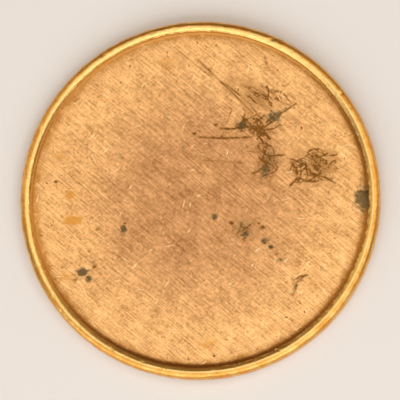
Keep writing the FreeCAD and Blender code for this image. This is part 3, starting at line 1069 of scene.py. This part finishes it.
class MARKER_OT_underside(Operator):
    """Pours the resin dome, and finishes the front disc, the enamels, the aiming line and the core"""

    bl_idname = "marker.make_underside"
    bl_label = "Enamelled side"

    def execute(self, context):
        settings = context.scene.marker_underside
        points, faces = resin_dome(settings)
        dome = mesh_object("domed_clear_coat", points, faces, clear_resin())
        turn_out(dome)
        # The resin's flat side is shaded flat, or its wide faces would bend what shows through it.
        for face in dome.data.polygons:
            face.use_smooth = face.normal.z < 0.9
        settle(dome, "clear_coat")
        green = enamel("fairway_green_enamel", settings.green, settings.pale_green)
        finishes = {
            "front_disc": satin_brass(context.scene.marker_rim),
            "upper_enamel": green,
            "lower_enamel": green,
            "aim_line": enamel("white_line_enamel", (0.72, 0.71, 0.66), (0.82, 0.81, 0.77)),
            "core_disc": bare_steel(),
        }
        for node, material in finishes.items():
            for slot in frame["nodes"][node].material_slots:
                slot.material = material
        return {"FINISHED"}


# ---------------------------------------------------------------- stage


def aim(thing, place, target, up):
    """Puts a camera or light at a place, looking at the target, with up pointing up in its view."""
    back = (Vector(place) - Vector(target)).normalized()
    right = Vector(up).cross(back).normalized()
    above = back.cross(right)
    thing.matrix_world = Matrix.Translation(place) @ Matrix((right, above, back)).transposed().to_4x4()


def direction(azimuth, elevation):
    """From the marker towards a camera or a light. Azimuth 0 is at the front, towards -Y."""
    flat = math.cos(elevation)
    return Vector((math.sin(azimuth) * flat, -math.cos(azimuth) * flat, math.sin(elevation)))


WHITE, WARM = (1.0, 1.0, 1.0), (1.0, 0.84, 0.62)
# Name, azimuth and elevation in degrees, distance, width and depth in metres, radiance and colour.
LIGHTS = [
    ("softbox_above", 100, 80, 0.45, 0.60, 0.36, 1.10, WHITE),
    ("softbox_front", -4, 40, 0.50, 1.30, 0.44, 1.7, WHITE),
    ("softbox_left", -115, 34, 0.50, 0.60, 0.28, 0.75, WARM),
    ("softbox_right", 116, 38, 0.50, 0.60, 0.28, 0.88, WARM),
]
WORLD_COLOUR = (0.18, 0.10, 0.035, 1.0)
FLOOR_HALF = 0.6  # Half of the floor's side, in metres.


def soft_light(name, azimuth, elevation, distance, width, depth, radiance, colour):
    """A rectangular softbox of that radiance, aimed at the marker."""
    lamp = bpy.data.lights.new(name, "AREA")
    lamp.shape = "RECTANGLE"
    lamp.size, lamp.size_y = width, depth
    lamp.energy = radiance * math.pi * width * depth
    lamp.color = colour
    light = bpy.data.objects.new(name, lamp)
    bpy.context.scene.collection.objects.link(light)
    aim(light, direction(math.radians(azimuth), math.radians(elevation)) * distance, (0, 0, 0), (0, 1, 0))


class MARKER_OT_stage(Operator):
    """Lays a pale floor, and sets the lights and the camera"""

    bl_idname = "marker.make_stage"
    bl_label = "Stage"

    def execute(self, context):
        scene = context.scene
        settings = scene.marker_stage
        scene.view_settings.view_transform = "Standard"
        material, place = new_material("pale_floor")
        colour = tint(noise(place, 0.02), (0.82, 0.83, 0.85), (0.86, 0.87, 0.88))
        finish(material, {"Base Color": colour, "Roughness": 0.8})
        square = [(x * FLOOR_HALF, y * FLOOR_HALF, 0) for x, y in ((-1, -1), (1, -1), (1, 1), (-1, 1))]
        floor = mesh_object("floor", square, [(0, 1, 2, 3)], material)
        floor.location.z = -5 * MICRON
        world = bpy.data.worlds.new("studio")
        world.use_nodes = True
        world.node_tree.nodes["Background"].inputs["Color"].default_value = WORLD_COLOUR
        scene.world = world
        for light in LIGHTS:
            soft_light(*light)
        camera = bpy.data.objects.new("camera", bpy.data.cameras.new("camera"))
        scene.collection.objects.link(camera)
        target = Vector((0, 0, TOP / 2))
        place = target + direction(settings.azimuth, settings.elevation) * settings.distance
        aim(camera, place, target, (0, 1, 0))
        camera.data.lens = settings.frame_share * camera.data.sensor_width * settings.distance / (2 * RIM_R)
        camera.data.clip_start = 0.01
        scene.camera = camera
        return {"FINISHED"}


# ---------------------------------------------------------------- panel and running


class MARKER_PT_panel(Panel):
    bl_label = "Ball marker"
    bl_space_type = "VIEW_3D"
    bl_region_type = "UI"
    bl_category = "Ball marker"

    def draw(self, context):
        for owner, operators in PANEL_ROWS:
            box = self.layout.box()
            settings = getattr(context.scene, owner)
            for name in settings.__annotations__:
                box.prop(settings, name)
            for operator in operators:
                box.operator(operator.bl_idname)


PANEL_ROWS = [
    ("marker_rim", [MARKER_OT_rim]),
    ("marker_face", [MARKER_OT_face]),
    ("marker_scratches", [MARKER_OT_scratches]),
    ("marker_underside", [MARKER_OT_underside]),
    ("marker_stage", [MARKER_OT_stage]),
]
SETTINGS = {
    "marker_rim": MarkerRimSettings,
    "marker_face": MarkerFaceSettings,
    "marker_scratches": MarkerScratchSettings,
    "marker_underside": MarkerUndersideSettings,
    "marker_stage": MarkerStageSettings,
}
OPERATORS = [MARKER_OT_rim, MARKER_OT_face, MARKER_OT_scratches, MARKER_OT_underside, MARKER_OT_stage]
CLASSES = [*SETTINGS.values(), *OPERATORS, MARKER_PT_panel]


def register():
    for entry in CLASSES:
        bpy.utils.register_class(entry)
    for name, group in SETTINGS.items():
        setattr(bpy.types.Scene, name, PointerProperty(type=group))


def unregister():
    for name in SETTINGS:
        delattr(bpy.types.Scene, name)
    for entry in reversed(CLASSES):
        bpy.utils.unregister_class(entry)


def main():
    register()
    bpy.ops.marker.make_rim()
    bpy.ops.marker.make_face()
    bpy.ops.marker.make_scratches()
    bpy.ops.marker.make_underside()
    bpy.ops.marker.make_stage()


if __name__ == "__main__":
    main()
